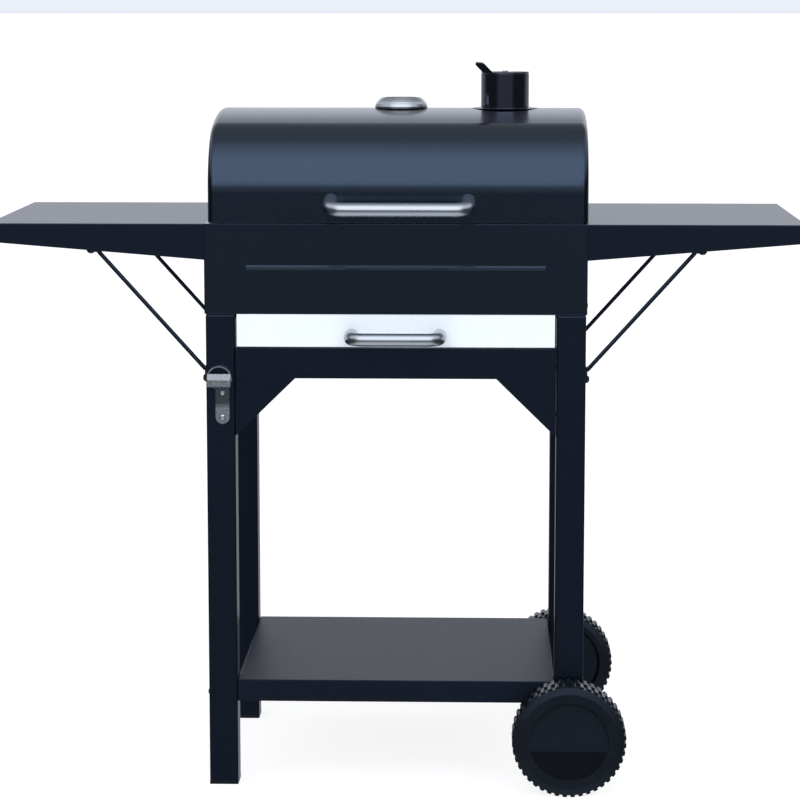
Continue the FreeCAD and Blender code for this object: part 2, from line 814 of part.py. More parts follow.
def thermometer():
    centre = (d.gauge_x, 0, d.lid_crown)
    case = [
        (0, -40),
        (3, -38),
        (3, -12),
        (8, -12),
        (8, -6),
        (3, -6),
        (3, 0.1),
        (34.5, 0.1),
        (34.5, 9.2),
        (33.5, 9.2),
        (33.5, 1.6),
        (0, 1.6),
    ]
    node(revolve(case, centre), "thermometer_case")
    rim = d.gauge_radius
    bezel = [
        (34.7, 0.2),
        (rim, 0.2),
        (rim + 0.3, 2.8),
        (rim - 1.0, 6.4),
        (rim - 3.6, 10.2),
        (rim - 7.0, 13.6),
        (rim - 9.6, 15.6),
        (rim - 11.4, 16.0),
        (rim - 12.4, 15.2),
        (rim - 12.4, 14.0),
        (rim - 9.5, 13.4),
        (34.7, 9.6),
    ]
    node(revolve(bezel, centre), "thermometer_bezel")
    node(revolve([(1.2, 4), (33, 4), (33, 4.8), (1.2, 4.8)], centre), "thermometer_dial")
    node(revolve([(0, 11.7), (28.6, 11.7), (28.6, 13.3), (0, 13.3)], centre), "thermometer_lens")


def thermometer_needle():
    """A thin pointer on a small hub, turned by the coil in the stem."""
    hub_low = d.lid_crown + 6.0
    hub = cylinder(3.2, 2.2, (d.gauge_x, 0, hub_low))
    post = cylinder(0.9, 3.6, (d.gauge_x, 0, hub_low - 3.4))
    arm = doc.addObject("Part::Feature", "Arm")
    outline = [Vector(-8, -1.3, 0), Vector(24, -0.5, 0), Vector(24, 0.5, 0), Vector(-8, 1.3, 0)]
    blade = Part.Face(Part.makePolygon(outline + [outline[0]])).extrude(Vector(0, 0, 0.8))
    arm.Shape = blade
    arm.Placement = FreeCAD.Placement(
        Vector(d.gauge_x.value, 0, hub_low.value + 0.6), Rotation(Vector(0, 0, 1), 225)
    )
    return node(fuse([hub, post, arm]), "thermometer_needle")


# ---------------------------------------------------------------- drawer


def drawer_front():
    """The bright front plate with returned edges."""
    half = d.drawer_wide / 2
    wall = d.drawer_wall
    body = new_body()
    outer = [rectangle((-half, half), (d.drawer_low, d.drawer_high))]
    hollow = [rectangle((-(half - wall), half - wall), (d.drawer_low + wall, d.drawer_high - wall))]
    pad(body, "XZ_Plane", leg_face - d.drawer_return, outer, d.drawer_return)
    pocket(body, "XZ_Plane", leg_face - wall, hollow, d.drawer_return)
    holes = []
    for x in (-64.5, 64.5):
        holes.append(cylinder(2.8, 10, (x, -leg_face + 5, 676.5), "y", -1))
    return node(cut(body, holes), "drawer_front")


def ash_pan():
    """The open pan behind the drawer front."""
    half = d.pan_wide / 2
    front = -(leg_face - d.drawer_wall)
    wall = d.drawer_wall
    body = new_body()
    outer = [rectangle((-half, half), (front, d.pan_back))]
    hollow = [rectangle((-(half - wall), half - wall), (front + wall, d.pan_back - wall))]
    pad(body, "XY_Plane", d.pan_low, outer, d.pan_high - d.pan_low)
    pocket(body, "XY_Plane", d.pan_high + 1, hollow, d.pan_high - d.pan_low - wall + 1)
    holes = []
    for x in (-64.5, 64.5):
        holes.append(cylinder(2.8, 10, (x, -leg_face + 6, 676.5), "y", -1))
    return node(cut(body, holes), "ash_pan")


# ---------------------------------------------------------------- side tables


def table_outline(x_side, inset):
    root = d.box_wide / 2 + inset
    tip = d.table_reach - inset
    return [
        (root * x_side, d.table_top - d.table_root_drop + inset),
        (tip * x_side, d.table_top - d.table_tip_drop + inset),
        (tip * x_side, d.table_top - inset),
        (root * x_side, d.table_top - inset),
    ]


def side_table(label, x_side):
    """A folded tray, open below, whose aprons taper to the outer end."""
    wall = d.sheet_wall
    body = new_body()
    pad(body, "XZ_Plane", 0, [table_outline(x_side, as_size(0))], leg_face * 2, both_ways=True)
    pocket(
        body, "XZ_Plane", 0, [table_outline(x_side, wall)], (leg_face - wall) * 2, both_ways=True
    )
    near = (d.box_wide / 2 + d.table_lip) * x_side
    far = (d.table_reach - d.table_lip) * x_side
    mouth_y = leg_face - d.table_lip
    mouth = [rectangle((near, far), (-mouth_y, mouth_y))]
    pocket(body, "XY_Plane", d.table_top - 10, mouth, 60)
    top = d.table_top.value
    soft = round_edges(body, 1.3, lambda edge: edge.BoundBox.ZMin > top - 0.01)
    holes = []
    for y in (-150, 150):
        holes.append(cylinder(3.3, 8, ((d.box_wide / 2 - 4) * x_side, y, 812), "x", x_side))
    for y in (-d.strut_y, d.strut_y):
        holes.append(cylinder(3.3, 20, (d.strut_high_x * x_side, y, 790)))
    return node(cut(soft, holes), label)


def strut(label, x_side, y_side):
    """A rod with both ends flattened and drilled: one on the leg, one under the table."""
    y = d.strut_y.value * y_side
    wide = 12.0
    thick = 2.6
    leg_x = d.frame_wide.value / 2
    root = d.box_wide.value / 2
    drop_root = d.table_root_drop.value
    drop_tip = d.table_tip_drop.value
    reach = d.table_reach.value - root
    slope = math.atan2(drop_root - drop_tip, reach)
    high_x = d.strut_high_x.value
    high_z = d.table_top.value - drop_root + (high_x - root) * math.tan(slope) - 0.1
    low_z = d.strut_low_z.value
    low_tab = Part.makeBox(thick, wide, 18, Vector(leg_x, -wide / 2, low_z))
    low_eye = Part.makeCylinder(wide / 2, thick, Vector(leg_x, 0, low_z), Vector(1, 0, 0))
    low_hole = Part.makeCylinder(3.3, 20, Vector(leg_x - 5, 0, low_z), Vector(1, 0, 0))
    high_tab = Part.makeBox(16, wide, thick, Vector(-16, -wide / 2, -thick))
    high_eye = Part.makeCylinder(wide / 2, thick, Vector(0, 0, -thick))
    high_end = high_tab.fuse(high_eye)
    high_end.Placement = FreeCAD.Placement(
        Vector(high_x, 0, high_z), Rotation(Vector(0, 1, 0), -math.degrees(slope))
    )
    high_hole = Part.makeCylinder(3.3, 30, Vector(high_x, 0, high_z - 15))
    start = Vector(leg_x + 3.2, 0, low_z + 14)
    finish = Vector(high_x - 12, 0, high_z - 3.6)
    rod_radius = d.strut_radius.value
    rod = Part.makeCylinder(rod_radius, (finish - start).Length, start, finish - start)
    low_ball = Part.makeSphere(rod_radius, start)
    high_ball = Part.makeSphere(rod_radius, finish)
    whole = low_tab.fuse([low_eye, high_end, rod, low_ball, high_ball])
    beyond_leg = Part.makeBox(20, 40, 60, Vector(leg_x - 20, -20, low_z - 20))
    whole = whole.cut(low_hole.fuse([high_hole, beyond_leg])).removeSplitter()
    if x_side < 0:
        whole = whole.mirror(Vector(0, 0, 0), Vector(1, 0, 0))
    item = doc.addObject("Part::Feature", "Strut")
    item.Shape = whole
    item.Placement = FreeCAD.Placement(Vector(0, y, 0), Rotation())
    return node(item, label)


def bottle_opener():
    """A chromed catch under a thin round hood, on a neck with two screws, on the front left leg."""
    x = as_size(-257.5)
    neck_x = as_size(opener_neck_x)
    front = -leg_face
    deep = as_size(2.2)
    level = 613.0
    disc = cylinder(18.4, deep, (x, front, level), "y", -1)
    neck = box((neck_x - 10.2, neck_x + 10.2), (front - deep, front), (555, level))
    toe = cylinder(10.2, deep, (neck_x, front, 555), "y", -1)
    hood = cut(
        cylinder(18.4, 12.5, (x, front, level), "y", -1),
        [
            cylinder(16.6, 17, (x, front + 1, level), "y", -1),
            box((x - 20, x + 20), (front - 17, front + 1), (level - 20, level)),
        ],
    )
    left_cheek = box((x - 16.9, x - 14.4), (front - 13.4, front), (601, 615))
    right_cheek = box((x + 14.4, x + 16.9), (front - 13.4, front), (601, 615))
    section = [(13.0, 601), (15.4, 601), (15.4, 611), (14.1, 620), (11.8, 620), (13.0, 611)]
    catch = new_body()
    ring = [(front - out, z) for out, z in section]
    pad(catch, "YZ_Plane", x, [ring], 33.8, both_ways=True)
    whole = fuse([disc, neck, toe, hood, left_cheek, right_cheek, catch])
    window = cut(
        cylinder(16.0, 8, (x, front + 2, level), "y", -1),
        [box((x - 20, x + 20), (front - 10, front + 4), (level - 20, level + 5))],
    )
    screws = [cylinder(2.3, 8, (neck_x, front + 2, z), "y", -1) for z in opener_screw_levels]
    return node(cut(whole, screws + [window]), "bottle_opener")


# ---------------------------------------------------------------- wheels


def wheel(label, y_side):
    """A moulded wheel: hub, web, rim and two staggered rows of tread blocks."""
    rim = d.wheel_radius - d.tread_deep
    wide = d.wheel_wide
    near = as_size(0)
    outline = [
        (d.axle_radius + 0.05, near - 4),
        (17, near - 4),
        (17, near + 4),
        (60, near + 4),
        (64, near),
        (72, near),
        (rim, near + 2),
        (rim, near + wide - 2),
        (71, near + wide),
        (58, near + wide),
        (58, near + 24),
        (17, near + 24),
        (17, near + 30),
        (d.axle_radius + 0.05, near + 30),
    ]
    centre = (leg_middle_x, (leg_face + d.wheel_stand) * y_side, d.wheel_radius)
    body = new_body()
    sketch = sketch_on(body, "XZ_Plane", 0)
    add_polygon(sketch, outline)
    turned = body.newObject("PartDesign::Revolution", "Revolution")
    turned.Profile = sketch
    turned.ReferenceAxis = (sketch, ["V_Axis"])
    turned.Angle = 360
    teeth = 44
    pitch = 2 * math.pi / teeth
    deep = d.tread_deep.value
    outer = d.wheel_radius.value
    for row in range(2):
        block = sketch_on(body, "XY_Plane", as_size(2.4) + (wide / 2 - 1.8) * row)
        middle = pitch * (row * 0.5)
        corners = [
            (outer - deep - 1, -0.34),
            (outer - 0.6, -0.27),
            (outer, -0.16),
            (outer, 0.16),
            (outer - 0.6, 0.27),
            (outer - deep - 1, 0.34),
        ]
        ring = []
        for radius, share in corners:
            angle = math.pi / 2 * 3 + middle + share * pitch
            ring.append((radius * math.cos(angle), radius * math.sin(angle)))
        add_polygon(block, ring)
        tooth = body.newObject("PartDesign::Pad", "Tooth")
        tooth.Profile = block
        bind(tooth, "Length", wide / 2 - 3)
        doc.recompute()
        around = body.newObject("PartDesign::PolarPattern", "Tread")
        around.Originals = [tooth]
        around.Axis = (block, ["N_Axis"])
        around.Angle = 360
        body.Tip = around
        around.Occurrences = teeth
    turn = 90 if y_side < 0 else -90
    body.Placement = FreeCAD.Placement(Vector(0, 0, 0), Rotation(Vector(1, 0, 0), turn))
    place(body, *centre)
    return node(body, label)


def hub_cap(label, y_side):
    """The cover disc: flush below its crease, sunk deeper and deeper above it, with a collar."""
    face = leg_face + d.wheel_stand + d.wheel_wide - 0.4
    x = leg_middle_x
    z = d.wheel_radius
    crease = z - 14.4
    thick = 3.5
    sink = 15.0
    outer = [(face, z - 70), (face, crease), (face - sink, z + 60)]
    inner = [(face - sink - thick, z + 60), (face - thick, crease), (face - thick, z - 70)]
    front_space = outer + [(face + 20, z + 60), (face + 20, z - 70)]
    plate = new_body()
    pad(plate, "YZ_Plane", x, [[(a * y_side, b) for a, b in outer + inner]], 130, both_ways=True)
    disc = doc.addObject("Part::Common", "Disc")
    disc.Base = plate
    disc.Tool = cylinder(d.cap_radius, 30, (x, (face - 25) * y_side, z), "y", y_side)
    collar = cylinder(20, 22, (x, (face - 24.6) * y_side, z), "y", y_side)
    bore = cylinder(17.05, 30, (x, (face - 34) * y_side, z), "y", y_side)
    cover = new_body()
    pad(cover, "YZ_Plane", x, [[(a * y_side, b) for a, b in front_space]], 130, both_ways=True)
    trimmed = cut(collar, [bore, cover])
    return node(fuse([disc, trimmed]), label)


def axle():
    end = leg_face + d.wheel_stand + 41
    rod = cylinder(d.axle_radius, end * 2, (leg_middle_x, -end, d.wheel_radius), "y")
    return node(rod, "axle")


def axle_rings(label, starts, length, radius, sides):
    """Rings or nuts threaded on the axle, at the given distances from the middle."""
    rings = []
    for start in starts:
        for y_side in (-1, 1):
            point = (leg_middle_x, start * y_side, d.wheel_radius)
            if sides:
                blank = doc.addObject("Part::Prism", "Prism")
                blank.Polygon = sides
                bind(blank, "Circumradius", radius)
                bind(blank, "Height", length)
                blank.Placement = FreeCAD.Placement(
                    Vector(0, 0, 0), Rotation(Vector(0, 0, 1), Vector(0, y_side, 0))
                )
                place(blank, *point)
            else:
                blank = cylinder(radius, length, point, "y", y_side)
            bore_start = (leg_middle_x, (start - 1) * y_side, d.wheel_radius)
            bore = cylinder(d.axle_radius + 0.02, as_size(length) + 2, bore_start, "y", y_side)
            rings.append(cut(blank, [bore]))
    group = doc.addObject("Part::Compound", "Rings")
    group.Links = rings
    return node(group, label)


# ---------------------------------------------------------------- build


def axle_hole(y_side):
    start = (leg_middle_x, (leg_face + 1) * y_side, d.wheel_radius)
    return cylinder(d.axle_radius + 0.05, d.leg_side + 2, start, "y", -y_side)


def strut_hole(x_side, y_side):
    start = ((d.frame_wide / 2 + 1) * x_side, d.strut_y * y_side, d.strut_low_z)
    return cylinder(3.3, 6, start, "x", -x_side)


def shelf_hole(x_side, y_side):
    start = ((d.frame_wide / 2 + 1) * x_side, leg_middle_y * y_side, 137.0)
    return cylinder(3.3, d.leg_side + 2, start, "x", -x_side)


def build_frame():
    for x_name, x_side in (("left", -1), ("right", 1)):
        for y_name, y_side in (("front", -1), ("rear", 1)):
            holes = [strut_hole(x_side, y_side), shelf_hole(x_side, y_side)]
            holes = holes + [apron_hole(x_side, y_side, z) for z in apron_bolt_levels]
            low = d.foot_lip if x_side < 0 else d.short_leg_end
            if x_side > 0:
                holes.append(axle_hole(y_side))
            if x_side < 0 and y_side < 0:
                for z in opener_screw_levels:
                    holes.append(cylinder(2.3, 5, (opener_neck_x, -leg_face - 1, z), "y"))
            leg(y_name + "_" + x_name + "_leg", x_side, y_side, low, holes)
    foot_plugs()
    apron("front_apron", -1)
    apron("rear_apron", 1)
    runner("left_drawer_runner", -1)
    runner("right_drawer_runner", 1)
    lower_shelf()
    bottle_opener()


def build_firebox():
    firebox_panel("firebox_front", -1)
    firebox_panel("firebox_back", 1)
    firebox_side("firebox_left", -1)
    firebox_side("firebox_right", 1)
    firebox_floor()
    charcoal_grate()
    grate_ledge("front_grate_ledge", -1)
    grate_ledge("rear_grate_ledge", 1)
    cooking_grate("left_cooking_grate", -1)
    cooking_grate("right_cooking_grate", 1)


def build_lid():
    lid_shell()
    droop = math.degrees(math.asin(9.0 / 55.0))
    lid_x = d.lid_shift + 2.9
    u_handle("lid_handle", as_size(220.4), 55.5, 21, d.tube_radius, (lid_x, -leg_face, 872), droop)
    hinge_part("hinge_bases", False)
    hinge_part("hinge_leaves", True)
    hinge_pins()
    chimney()
    damper_cap()
    damper_rivet()
    thermometer()
    thermometer_needle()


def build_drawer():
    drawer_front()
    ash_pan()
    droop = math.degrees(math.asin(1.2 / 50.0))
    u_handle("drawer_handle", as_size(148), 50, 20, d.small_tube_radius, (0, -leg_face, 676.5), droop)


def build_tables():
    for x_name, x_side in (("left", -1), ("right", 1)):
        side_table(x_name + "_table", x_side)
        for y_name, y_side in (("front", -1), ("rear", 1)):
            strut(y_name + "_" + x_name + "_strut", x_side, y_side)


def build_wheels():
    axle()
    stand = leg_face + d.wheel_stand
    axle_rings("axle_washers", [leg_face + 0.3, stand + 30.4], 1.6, 10.0, 0)
    axle_rings("axle_nuts", [stand + 32.4], 7.0, 9.6, 6)
    for y_name, y_side in (("front", -1), ("rear", 1)):
        wheel(y_name + "_wheel", y_side)
        hub_cap(y_name + "_hub_cap", y_side)


def build_fasteners():
    half_box = d.box_wide.value / 2
    half_frame = d.frame_wide.value / 2
    inner = leg_inner.value
    middle_y = leg_middle_y.value
    wall = d.sheet_wall.value
    strut_y = d.strut_y.value
    apron_face = leg_face.value - d.apron_deep.value / 2
    places = []
    for x_side in (-1, 1):
        for y_side in (-1, 1):
            side = (x_side, 0, 0)
            inward = (-x_side, 0, 0)
            places.append(((half_box * x_side, 150 * y_side, 714), side))
            places.append((((half_box - wall) * x_side, 150 * y_side, 812), inward))
            places.append(((half_frame * x_side + 2.6 * x_side, strut_y * y_side, d.strut_low_z.value), side))
            slope = (d.table_root_drop.value - d.table_tip_drop.value) / (d.table_reach.value - half_box)
            high_z = d.table_top.value - d.table_root_drop.value
            high_z = high_z + (d.strut_high_x.value - half_box) * slope - 2.75
            places.append(((d.strut_high_x.value * x_side, strut_y * y_side, high_z), (0.08 * x_side, 0, -1)))
            for z in apron_bolt_levels:
                places.append((((d.apron_half.value - wall) * x_side, apron_face * y_side, z), inward))
    bolt_group("frame_bolts", button_bolt(9.0), places)
    long_places = []
    for x_side in (-1, 1):
        for y_side in (-1, 1):
            long_places.append(((half_frame * x_side, middle_y * y_side, 137.0), (x_side, 0, 0)))
    bolt_group("shelf_bolts", button_bolt(half_frame - inner + 8), long_places)
    opener_face = -leg_face.value - 2.2
    opener_places = [((opener_neck_x, opener_face, z), (0, -1, 0)) for z in opener_screw_levels]
    bolt_group("opener_screws", button_bolt(5.0, 2.0, 3.6, 1.8), opener_places)
    skin = leg_face.value - wall
    lid_x = d.lid_shift.value + 2.9
    lid_places = [((lid_x + x, -skin, 872), (0, 1, 0)) for x in (-99.6, 99.6)]
    bolt_group("lid_handle_screws", button_bolt(wall - 0.2, 2.5, 5.0, 3.0), lid_places)
    pan = leg_face.value - 2 * d.drawer_wall.value
    drawer_places = [((x, -pan, 676.5), (0, 1, 0)) for x in (-64.5, 64.5)]
    bolt_group("drawer_screws", button_bolt(2 * d.drawer_wall.value - 0.2, 2.5, 5.0, 3.0), drawer_places)


build_frame()
build_firebox()
build_lid()
build_drawer()
build_tables()
build_wheels()
build_fasteners()
doc.recompute()

for item in doc.Objects:
    if "Invalid" in item.State or "Error" in item.State:
        raise RuntimeError("bad state: " + item.Name + " " + item.Label)
for item in made:
    if item.Shape.isNull() or not item.Shape.isValid() or not item.Shape.Solids:
        raise RuntimeError("bad shape: " + item.Label)

os.makedirs("parts", exist_ok=True)
for item in made:
    item.Shape.exportStep(os.path.join("parts", item.Label + ".step"))
print(len(made), "parts written")
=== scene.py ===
import json
import math

import bpy
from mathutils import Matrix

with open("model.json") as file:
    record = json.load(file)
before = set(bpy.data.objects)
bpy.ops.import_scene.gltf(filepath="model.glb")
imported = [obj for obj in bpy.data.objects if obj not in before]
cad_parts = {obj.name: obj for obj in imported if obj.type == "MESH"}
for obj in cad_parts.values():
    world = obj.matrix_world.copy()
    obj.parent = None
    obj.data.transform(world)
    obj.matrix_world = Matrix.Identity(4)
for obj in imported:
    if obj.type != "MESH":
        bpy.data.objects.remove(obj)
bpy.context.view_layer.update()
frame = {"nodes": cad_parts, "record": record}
nodes = frame["nodes"]
scene = bpy.context.scene


# ---------------------------------------------------------------- material helpers

# Most of a noise texture's values lie between these two.
noise_span = (0.3, 0.7)


class Graph:
    """A short way to wire up one node material."""

    def __init__(self, name):
        self.material = bpy.data.materials.new(name)
        self.material.use_nodes = True
        self.tree = self.material.node_tree
        self.tree.nodes.clear()
        self.output = self.tree.nodes.new("ShaderNodeOutputMaterial")
        self.shader = self.tree.nodes.new("ShaderNodeBsdfPrincipled")
        self.tree.links.new(self.shader.outputs["BSDF"], self.output.inputs["Surface"])
        self.place = self.tree.nodes.new("ShaderNodeTexCoord").outputs["Object"]

    def link(self, source, target):
        self.tree.links.new(source, target)

    def set(self, **values):
        for key, value in values.items():
            self.shader.inputs[key.replace("_", " ")].default_value = value

    def stretched(self, scale):
        mapping = self.tree.nodes.new("ShaderNodeMapping")
        mapping.inputs["Scale"].default_value = scale
        self.link(self.place, mapping.inputs["Vector"])
        return mapping.outputs["Vector"]

    def noise(self, scale, detail=3.0, vector=None, rough=0.5):
        node = self.tree.nodes.new("ShaderNodeTexNoise")
        node.inputs["Scale"].default_value = scale
        node.inputs["Detail"].default_value = detail
        node.inputs["Roughness"].default_value = rough
        self.link(vector or self.place, node.inputs["Vector"])
        return node.outputs["Fac"]

    def cells(self, scale, output="Distance"):
        node = self.tree.nodes.new("ShaderNodeTexVoronoi")
        node.inputs["Scale"].default_value = scale
        self.link(self.place, node.inputs["Vector"])
        return node.outputs[output]

    def remap(self, value, low, high, to_low, to_high):
        node = self.tree.nodes.new("ShaderNodeMapRange")
        node.inputs["From Min"].default_value = low
        node.inputs["From Max"].default_value = high
        node.inputs["To Min"].default_value = to_low
        node.inputs["To Max"].default_value = to_high
        self.link(value, node.inputs["Value"])
        return node.outputs["Result"]

    def maths(self, operation, first, second):
        node = self.tree.nodes.new("ShaderNodeMath")
        node.operation = operation
        for socket, value in zip(node.inputs, (first, second)):
            if isinstance(value, (int, float)):
                socket.default_value = value
            else:
                self.link(value, socket)
        return node.outputs["Value"]

    def blend(self, share, first, second):
        node = self.tree.nodes.new("ShaderNodeMix")
        node.data_type = "RGBA"
        colours = [s for s in node.inputs if s.type == "RGBA"]
        for socket, value in zip(colours, (first, second)):
            if isinstance(value, tuple):
                socket.default_value = (*value, 1.0)
            else:
                self.link(value, socket)
        self.link(share, node.inputs["Factor"])
        return [s for s in node.outputs if s.type == "RGBA"][0]

    def colour(self, source):
        self.link(source, self.shader.inputs["Base Color"])

    def roughness(self, source):
        self.link(source, self.shader.inputs["Roughness"])

    def bump(self, height, strength, distance, edge=0.0):
        """Surface relief; edge is the radius by which folded or cut edges look rounded."""
        node = self.tree.nodes.new("ShaderNodeBump")
        node.inputs["Strength"].default_value = strength
        node.inputs["Distance"].default_value = distance
        self.link(height, node.inputs["Height"])
        if edge:
            bevel = self.tree.nodes.new("ShaderNodeBevel")
            bevel.samples = 6
            bevel.inputs["Radius"].default_value = edge
            self.link(bevel.outputs["Normal"], node.inputs["Normal"])
        self.link(node.outputs["Normal"], self.shader.inputs["Normal"])


def paint(name, dark, light, rough, level, tint, peel=0.05, edge=0.0012, index=1.5):
    """Baked powder coat: faint orange peel, slightly uneven tone and gloss."""
    g = Graph(name)
    g.set(Specular_IOR_Level=level, Specular_Tint=(*tint, 1.0), IOR=index)
    cloud = g.noise(7.0, 4.0)
    grit = g.noise(1400.0, 2.0)
    peel_waves = g.noise(330.0, 2.0)
    g.colour(g.blend(g.remap(cloud, 0.35, 0.65, 0.0, 1.0), dark, light))
    streaks = g.noise(160.0, 3.0)
    g.roughness(g.remap(streaks, *noise_span, rough - 0.015, rough + 0.02))
    g.bump(g.maths("ADD", peel_waves, g.maths("MULTIPLY", grit, 0.35)), peel, 0.0006, edge)
    return g.material


def bright_tube(name):
    """Chromed tube with faint wiping marks."""
    g = Graph(name)
    g.set(Metallic=1.0)
    smear = g.noise(60.0, 3.0, g.stretched((0.3, 1.0, 1.0)))
    g.colour(g.blend(smear, (0.38, 0.40, 0.42), (0.44, 0.46, 0.48)))
    g.roughness(g.remap(smear, *noise_span, 0.25, 0.31))
    g.bump(g.noise(900.0, 2.0, g.stretched((0.15, 1.0, 1.0))), 0.04, 0.0003)
    return g.material


def brushed_plate(name):
    """Bright stainless sheet with fine lines along its length."""
    g = Graph(name)
    # Half metal, because the pale floor that lights a real sheet is hidden from reflections here.
    g.set(Metallic=0.5)
    lines = g.noise(900.0, 3.0, g.stretched((0.02, 1.0, 1.0)))
    cloud = g.noise(9.0, 2.0)
    g.colour(g.blend(cloud, (0.88, 0.915, 0.925), (0.91, 0.94, 0.95)))
    g.roughness(g.remap(lines, *noise_span, 0.62, 0.72))
    g.bump(lines, 0.05, 0.0002)
    return g.material


# Heights in metres between which the opener's colour darkens below its catch, a painted dark reflection,
# and turns bright again at its toe.
catch_fade = (0.598, 0.602)
toe_fade = (0.568, 0.576)


def cast_plate(name):
    """Plated casting with fine pits; its colour is darkened along the neck as a painted dark reflection,
    and stays bright on the catch and the toe.
    """
    g = Graph(name)
    g.set(Metallic=1.0)
    parts = g.tree.nodes.new("ShaderNodeSeparateXYZ")
    g.link(g.place, parts.inputs["Vector"])
    height = parts.outputs["Z"]
    pits = g.noise(420.0, 4.0, rough=0.7)
    below_catch = g.remap(height, *catch_fade, 1.0, 0.0)
    above_toe = g.remap(height, *toe_fade, 0.0, 1.0)
    # Painted dark reflection: the neck between these heights is darkened in its colour, varied a little by
    # the pits.
    neck = g.maths("MULTIPLY", below_catch, above_toe)
    painted_neck_shade = g.maths("MULTIPLY", neck, g.remap(pits, *noise_span, 0.85, 1.0))
    bright = g.blend(pits, (0.18, 0.19, 0.20), (0.50, 0.52, 0.55))
    g.colour(g.blend(painted_neck_shade, bright, (0.085, 0.09, 0.10)))
    g.roughness(g.remap(pits, *noise_span, 0.22, 0.42))
    g.bump(pits, 0.25, 0.0006)
    return g.material


def galvanised(name):
    """Zinc-dipped sheet with its crystal pattern."""
    g = Graph(name)
    g.set(Metallic=1.0)
    spangle = g.cells(90.0, output="Color")
    fleck = g.tree.nodes.new("ShaderNodeSeparateColor")
    g.link(spangle, fleck.inputs["Color"])
    tone = fleck.outputs["Red"]
    g.colour(g.blend(tone, (0.40, 0.42, 0.43), (0.60, 0.62, 0.63)))
    g.roughness(g.remap(tone, 0.0, 1.0, 0.30, 0.48))
    g.bump(g.noise(300.0, 2.0), 0.05, 0.0004)
    return g.material


def plated_steel(name, dark, light, rough):
    """Turned or rolled zinc-plated steel."""
    g = Graph(name)
    g.set(Metallic=1.0)
    cloud = g.noise(180.0, 4.0)
    g.colour(g.blend(cloud, dark, light))
    g.roughness(g.remap(cloud, *noise_span, rough - 0.06, rough + 0.08))
    g.bump(g.noise(2200.0, 2.0), 0.05, 0.0002)
    return g.material


def moulded_plastic(name, dark, light, rough, level):
    """Black moulded plastic with a fine spark-eroded grain."""
    g = Graph(name)
    g.set(Specular_IOR_Level=level, Specular_Tint=(0.58, 0.74, 1.0, 1.0))
    cloud = g.noise(25.0, 4.0)
    grain = g.cells(1100.0)
    g.colour(g.blend(cloud, dark, light))
    g.roughness(g.remap(cloud, *noise_span, rough - 0.05, rough + 0.07))
    g.bump(grain, 0.12, 0.0004)
    return g.material


def enamel(name):
    """Glossy black vitreous enamel with pinholes."""
    g = Graph(name)
    g.set(Specular_IOR_Level=0.5, Coat_Weight=0.3, Coat_Roughness=0.12)
    cloud = g.noise(40.0, 3.0)
    g.colour(g.blend(cloud, (0.008, 0.008, 0.010), (0.016, 0.016, 0.018)))
    g.roughness(g.remap(cloud, *noise_span, 0.22, 0.34))
    g.bump(g.noise(260.0, 2.0), 0.10, 0.0005)
    return g.material


def dial_paper(name):
    """Pale matt card, left plain."""
    g = Graph(name)
    cloud = g.noise(400.0, 3.0)
    g.colour(g.blend(cloud, (0.78, 0.78, 0.75), (0.84, 0.84, 0.82)))
    g.set(Roughness=0.6)
    g.bump(cloud, 0.05, 0.0001)
    return g.material


def lacquer(name, dark, light):
    """Smooth thin paint."""
    g = Graph(name)
    cloud = g.noise(300.0, 3.0)
    g.colour(g.blend(cloud, dark, light))
    g.roughness(g.remap(cloud, *noise_span, 0.30, 0.42))
    return g.material


def gauge_glass(name):
    """Clear window with slight smears."""
    g = Graph(name)
    g.set(Transmission_Weight=1.0, IOR=1.45, Base_Color=(0.96, 0.98, 0.98, 1.0))
    g.roughness(g.remap(g.noise(50.0, 2.0), *noise_span, 0.01, 0.04))
    return g.material


frame_dark = (0.0007, 0.0009, 0.0013)
frame_light = (0.0011, 0.0014, 0.0020)
blue_gloss = (0.44, 0.62, 1.0)
heat_gloss = (0.44, 0.62, 0.90)
chimney_gloss = (0.70, 0.74, 1.0)
plain_gloss = (1.0, 1.0, 1.0)

# A paint takes its name, darker and lighter tone, roughness, specular level and specular tint.
materials = {
    "satin_black_paint": paint(
        "frame_powder_coat", frame_dark, frame_light, 0.30, 0.53, blue_gloss
    ),
    "high_heat_paint": paint(
        "firebox_heat_paint", (0.0007, 0.0010, 0.0015), (0.0011, 0.0014, 0.0022), 0.19, 0.95, heat_gloss
    ),
    "shelf_paint": paint(
        "shelf_powder_coat", frame_dark, frame_light, 0.46, 0.40, blue_gloss
    ),
    "chimney_paint": paint(
        "chimney_gloss_paint", (0.0006, 0.0007, 0.0010), (0.0010, 0.0011, 0.0014), 0.10, 1.0, chimney_gloss,
        index=1.62,
    ),
    "black_enamel": enamel("grate_enamel"),
    "chrome": bright_tube("chromed_tube"),
    "polished_stainless": brushed_plate("polished_steel"),
    "galvanised_steel": galvanised("galvanised_sheet"),
    "zinc_plate": plated_steel("zinc_plated_steel", (0.50, 0.51, 0.52), (0.64, 0.65, 0.66), 0.30),
    "black_bolt": paint(
        "bolt_black", (0.006, 0.006, 0.007), (0.010, 0.010, 0.011), 0.34, 0.30, plain_gloss, edge=0.0004
    ),
    "black_plastic": moulded_plastic(
        "wheel_plastic", (0.0009, 0.0011, 0.0013), (0.0014, 0.0016, 0.0019), 0.36, 0.42
    ),
    "cover_plastic": moulded_plastic(
        "wheel_cover_plastic", (0.0008, 0.0010, 0.0012), (0.0012, 0.0014, 0.0017), 0.40, 0.20
    ),
    "cast_opener": cast_plate("cast_opener_metal"),
    "dial_white": dial_paper("dial_face"),
    "needle_red": lacquer("needle_lacquer", (0.42, 0.02, 0.015), (0.55, 0.035, 0.02)),
    "gauge_glass": gauge_glass("gauge_window"),
}

# Nodes whose finish differs from the rest of their material slot.
finishes = {
    "lower_shelf": "shelf_paint",
    "chimney_pipe": "chimney_paint",
    "damper_cap": "chimney_paint",
    "front_hub_cap": "cover_plastic",
    "rear_hub_cap": "cover_plastic",
    "bottle_opener": "cast_opener",
}


